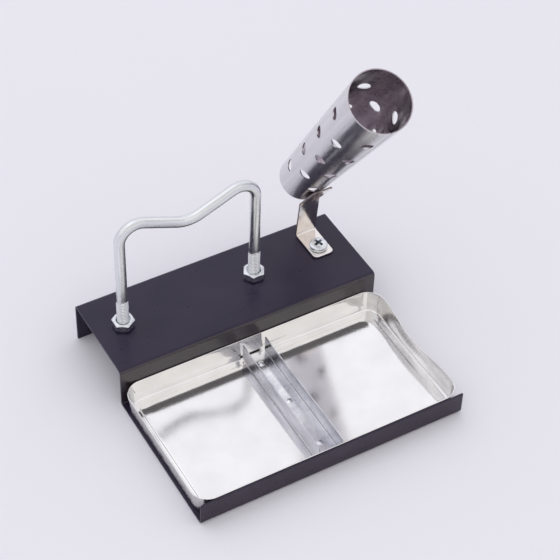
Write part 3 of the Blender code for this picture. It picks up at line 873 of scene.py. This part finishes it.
def strap_screw(mat, recess_shade_mat):
    """Pan-head screw: rolled thread, crowned head and a tapered cross recess."""
    place = Matrix.Translation((SCREW_X, SCREW_Y, 0))
    tail, crown = SCREW_LOW.z, SCREW_HIGH.z
    head = (SCREW_HIGH.x - SCREW_LOW.x) / 2
    tall = SCREW_HEAD_HEIGHT
    seat = crown - tall
    sides = 48
    rings = []
    steps = int((seat - tail) / (SCREW_PITCH / 9))
    for k in range(steps + 1):
        z = tail + (seat - tail) * k / steps
        ring = []
        for i in range(sides):
            a = 2 * math.pi * i / sides
            r = thread_radius(z, a, SCREW_PITCH, SCREW_RADIUS, SCREW_THREAD_DEPTH)
            r = min(r, SCREW_RADIUS - 0.6 * MM + (z - tail))
            ring.append(place @ Vector((r * math.cos(a), r * math.sin(a), z)))
        rings.append(ring)
    profile = [(head - 0.15 * MM, seat), (head, seat + 0.15 * MM), (head, seat + 0.50 * tall)]
    for k in range(1, 15):
        a = math.radians(6.2 * k)
        profile.append((head * math.cos(a) ** 0.62, seat + 0.50 * tall + 0.50 * tall * math.sin(a)))
    rings += turned_rings(profile, sides, place)
    obj = loft("strap_screw", rings)
    tools = []
    # height from the crown, half length and half width of one arm of the cross
    arm = ((-2.3 * MM, 0.9 * MM, 0.4 * MM), (0.1 * MM, 2.7 * MM, 0.75 * MM), (1 * MM, 3.1 * MM, 0.85 * MM))
    for turn in (0, 90):
        rings = []
        spin = Matrix.Rotation(math.radians(RECESS_TURN + turn), 4, "Z")
        for z, long, wide in arm:
            shape = [(long, wide), (-long, wide), (-long, -wide), (long, -wide)]
            matrix = Matrix.Translation((SCREW_X, SCREW_Y, crown + z)) @ spin
            rings.append([matrix @ Vector((x, y, 0)) for x, y in shape])
        tools.append(loft("recess", rings))
    carve(obj, tools)
    finish_mesh(obj, 35)
    obj.data.materials.append(mat)
    obj.data.materials.append(recess_shade_mat)
    # Faces inside the cross recess get the darker zinc: painted shade in the recess.
    for face in obj.data.polygons:
        off_axis = math.hypot(face.center.x - SCREW_X, face.center.y - SCREW_Y)
        if off_axis < RECESS_REACH and seat < face.center.z < crown - 0.3 * MM:
            face.material_index = 1
    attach(obj, "base")
    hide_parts("bracket_screw")


def spring_washer(mat):
    low, high = (Vector(p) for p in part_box("bracket_lock_washer"))
    outer = (high.x - low.x) / 2
    inner = SCREW_RADIUS + CLEAR
    thick = (high.z - low.z) * 0.8
    rise = (high.z - low.z) - thick
    soft = 0.12 * MM
    rings = []
    steps = 72
    for k in range(steps + 1):
        a = math.radians(-90 + 4 + 352 * k / steps)
        z = low.z + rise * k / steps
        section = [
            (inner, z + soft), (inner + soft, z), (outer - soft, z), (outer, z + soft),
            (outer, z + thick - soft), (outer - soft, z + thick),
            (inner + soft, z + thick), (inner, z + thick - soft),
        ]
        rings.append([(SCREW_X + r * math.cos(a), SCREW_Y + r * math.sin(a), h) for r, h in section])
    obj = loft("spring_washer", rings)
    finish_mesh(obj, 30)
    obj.data.materials.append(mat)
    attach(obj, "base")
    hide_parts("bracket_lock_washer")


# ---------------------------------------------------------------- tube

def tube_sleeve(mat, bore_mat):
    axis = Vector((0, -math.cos(TUBE_TILT), math.sin(TUBE_TILT)))
    up = Vector((0, math.sin(TUBE_TILT), math.cos(TUBE_TILT)))
    mouth_y = TUBE_LOW.y + TUBE_MOUTH * up.y
    mouth = Vector((SCREW_X, mouth_y, TUBE_HIGH.z - TUBE_MOUTH * up.z))
    tail = mouth - axis * TUBE_LENGTH
    turn = Matrix((Vector((1, 0, 0)), up, axis)).transposed().to_4x4()
    place = Matrix.Translation(tail) @ turn
    wall = TUBE_WALL
    half_gap = SEAM_GAP / 2
    edge = 0.12 * MM
    sides = 120
    stations = [(0.0, edge), (edge, 0.0)]
    stations += [(TUBE_LENGTH * k / 60, 0.0) for k in range(1, 60)]
    stations += [(TUBE_LENGTH - edge, 0.0), (TUBE_LENGTH, edge)]
    rings = []
    for s, shrink in stations:
        outer = TUBE_TAIL + (TUBE_MOUTH - TUBE_TAIL) * s / TUBE_LENGTH
        ring = []
        for side, order in ((0, range(sides + 1)), (1, range(sides, -1, -1))):
            for k in order:
                gap = half_gap / outer
                a = SEAM_ANGLE + gap + (2 * math.pi - 2 * gap) * k / sides
                base = outer - shrink if side == 0 else outer - wall + shrink
                spot = Vector((math.cos(a), math.sin(a), s / 0.05))
                out = 0.025 * MM * noise.noise(spot * 1.3) - 0.025 * MM
                ring.append(place @ Vector(((base + out) * math.cos(a), (base + out) * math.sin(a), s)))
        rings.append(ring)
    obj = loft("tube_sleeve", rings)
    tools = []
    for row in range(VENT_ROWS):
        shifted = row % 2
        angle = 2 * math.pi * (row + 0.5) / VENT_ROWS
        out = Vector((math.cos(angle), math.sin(angle), 0))
        for k in range(3 if shifted == 0 else 4):
            s = VENT_FIRST + VENT_PITCH * (k + (1 - shifted) / 2)
            radius = TUBE_TAIL + (TUBE_MOUTH - TUBE_TAIL) * s / TUBE_LENGTH
            spot = Vector((0, 0, s)) + out * radius
            tools.append(peg(VENT_RADIUS, place @ along(spot, out), 8 * wall, 36))
    tools += [peg(RIVET_RADIUS + CLEAR, rivet_frame(i), 8 * wall) for i in range(len(RIVET_PLACES))]
    carve(obj, tools)
    finish_mesh(obj, 35)
    obj.data.materials.append(mat)
    obj.data.materials.append(bore_mat)
    inverse = place.inverted()
    # Faces on the inside of the tube get the darker bore colour: painted shade.
    for face in obj.data.polygons:
        spot = inverse @ face.center
        outer = TUBE_TAIL + (TUBE_MOUTH - TUBE_TAIL) * spot.z / TUBE_LENGTH
        if math.hypot(spot.x, spot.y) < outer - 0.8 * wall:
            face.material_index = 1
    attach(obj, "holder")
    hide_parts("holder_tube")


coat, tin, wire, zinc = powder_coat(), tinplate(), zinc_wire(), zinc_plate()
shiny, steel = nickel(), tube_steel()
# Lit and shaded copies of the black coat for the step wall and the lip: painted light, the step's browner
# tint a painted reflection of the tray.
step_coat_lit_copy = upright_coat_lit_copy("step_coat_lit_copy", (0.022, 0.016, 0.022), (0.032, 0.024, 0.030), 0.75)
lip_coat_lit_copy = upright_coat_lit_copy("lip_coat_lit_copy", (0.019, 0.012, 0.026), (0.028, 0.018, 0.036), 0.38)
base_sheet(coat, step_coat_lit_copy, lip_coat_lit_copy)
# Darker tin for the sides of the tray and of the divider: painted shade.
tray_shell(tin, painted_shade_metal("tray_side_painted_shade", (0.54, 0.53, 0.53), (0.74, 0.73, 0.72)))
divider_channel(channel_tin(), painted_shade_metal("divider_side_painted_shade", (0.28, 0.28, 0.32), (0.56, 0.56, 0.61)))
rest_wire(wire)
for side in ("left", "right"):
    hex_nut(f"rest_nut_top_{side}", f"upper_nut_{side}", zinc, THREAD_RADIUS + 0.05 * MM)
    hex_nut(f"rest_nut_under_{side}", f"lower_nut_{side}", zinc, THREAD_RADIUS + 0.05 * MM)
hex_nut("strap_nut", "bracket_nut", zinc, SCREW_RADIUS + 0.05 * MM)
brown = sheared_edge_and_shade_steel()
strap(shiny, brown)
# Darker zinc in the screw's cross recess: painted shade.
strap_screw(zinc, painted_shade_metal("recess_painted_shade", (0.26, 0.28, 0.31), (0.42, 0.44, 0.48)))
spring_washer(zinc)
tube_sleeve(steel, tube_bore())
for i in range(len(RIVET_PLACES)):
    strap_rivet(i, brown)


# ---------------------------------------------------------------- table, light and camera

def table(mat):
    """A wide table whose rim sweeps up all round, so there is no hard horizon."""
    profile = [(0.05, 0.0), (0.5, 0.0), (TABLE_FLAT, 0.0)]
    for k in range(1, 13):
        a = math.radians(70 * k / 12)
        profile.append((TABLE_FLAT + TABLE_SWEEP * math.sin(a), TABLE_SWEEP * (1 - math.cos(a))))
    profile += [(r, z - 0.02) for r, z in reversed(profile)]
    obj = loft("table", turned_rings(profile, 96, Matrix.Identity(4)))
    obj.data.materials.append(mat)
    obj.data.shade_smooth()
    obj.data.set_sharp_from_angle(angle=math.radians(30))


def softbox(name, place, target, size, watts):
    light = bpy.data.lights.new(name, "AREA")
    light.shape = "RECTANGLE"
    light.size, light.size_y = size
    light.energy = watts
    obj = bpy.data.objects.new(name, light)
    bpy.context.collection.objects.link(obj)
    obj.location = place
    obj.rotation_euler = (Vector(target) - Vector(place)).to_track_quat("-Z", "Y").to_euler()


def surroundings():
    world = bpy.data.worlds.new("studio")
    bpy.context.scene.world = world
    world.use_nodes = True
    nodes, links = world.node_tree.nodes, world.node_tree.links
    coord = nodes.new("ShaderNodeTexCoord")
    split = nodes.new("ShaderNodeSeparateXYZ")
    links.new(coord.outputs["Generated"], split.inputs["Vector"])
    fade = nodes.new("ShaderNodeMapRange")
    for key, value in (("From Min", -0.9), ("From Max", 0.6), ("To Min", 0.0), ("To Max", 1.0)):
        fade.inputs[key].default_value = value
    links.new(split.outputs["Y"], fade.inputs["Value"])
    ramp = nodes.new("ShaderNodeValToRGB")
    ramp.color_ramp.elements[0].color = (*FRONT_LIGHT, 1)
    ramp.color_ramp.elements[1].color = (*BACK_LIGHT, 1)
    links.new(fade.outputs["Result"], ramp.inputs["Fac"])
    back = nodes["Background"]
    links.new(ramp.outputs["Color"], back.inputs["Color"])


def camera():
    data = bpy.data.cameras.new("camera")
    data.sensor_width = 36
    data.lens = CAMERA_LENS
    cam = bpy.data.objects.new("camera", data)
    bpy.context.collection.objects.link(cam)
    x, y, z = CAMERA_PLACE
    cam.matrix_world = (
        Matrix.Translation((x, y + PLATE_LOW.y, z))
        @ Matrix.Rotation(CAMERA_AZIMUTH, 4, "Z")
        @ Matrix.Rotation(math.pi / 2 - CAMERA_ELEVATION, 4, "X")
        @ Matrix.Rotation(CAMERA_ROLL, 4, "Z")
    )
    bpy.context.scene.camera = cam


table(table_top())
surroundings()
softbox("key", (-0.5, 0.9, 2.2), (0, 0, 0), (1.6, 1.6), 2)
camera()
bpy.context.scene.view_settings.view_transform = "Standard"
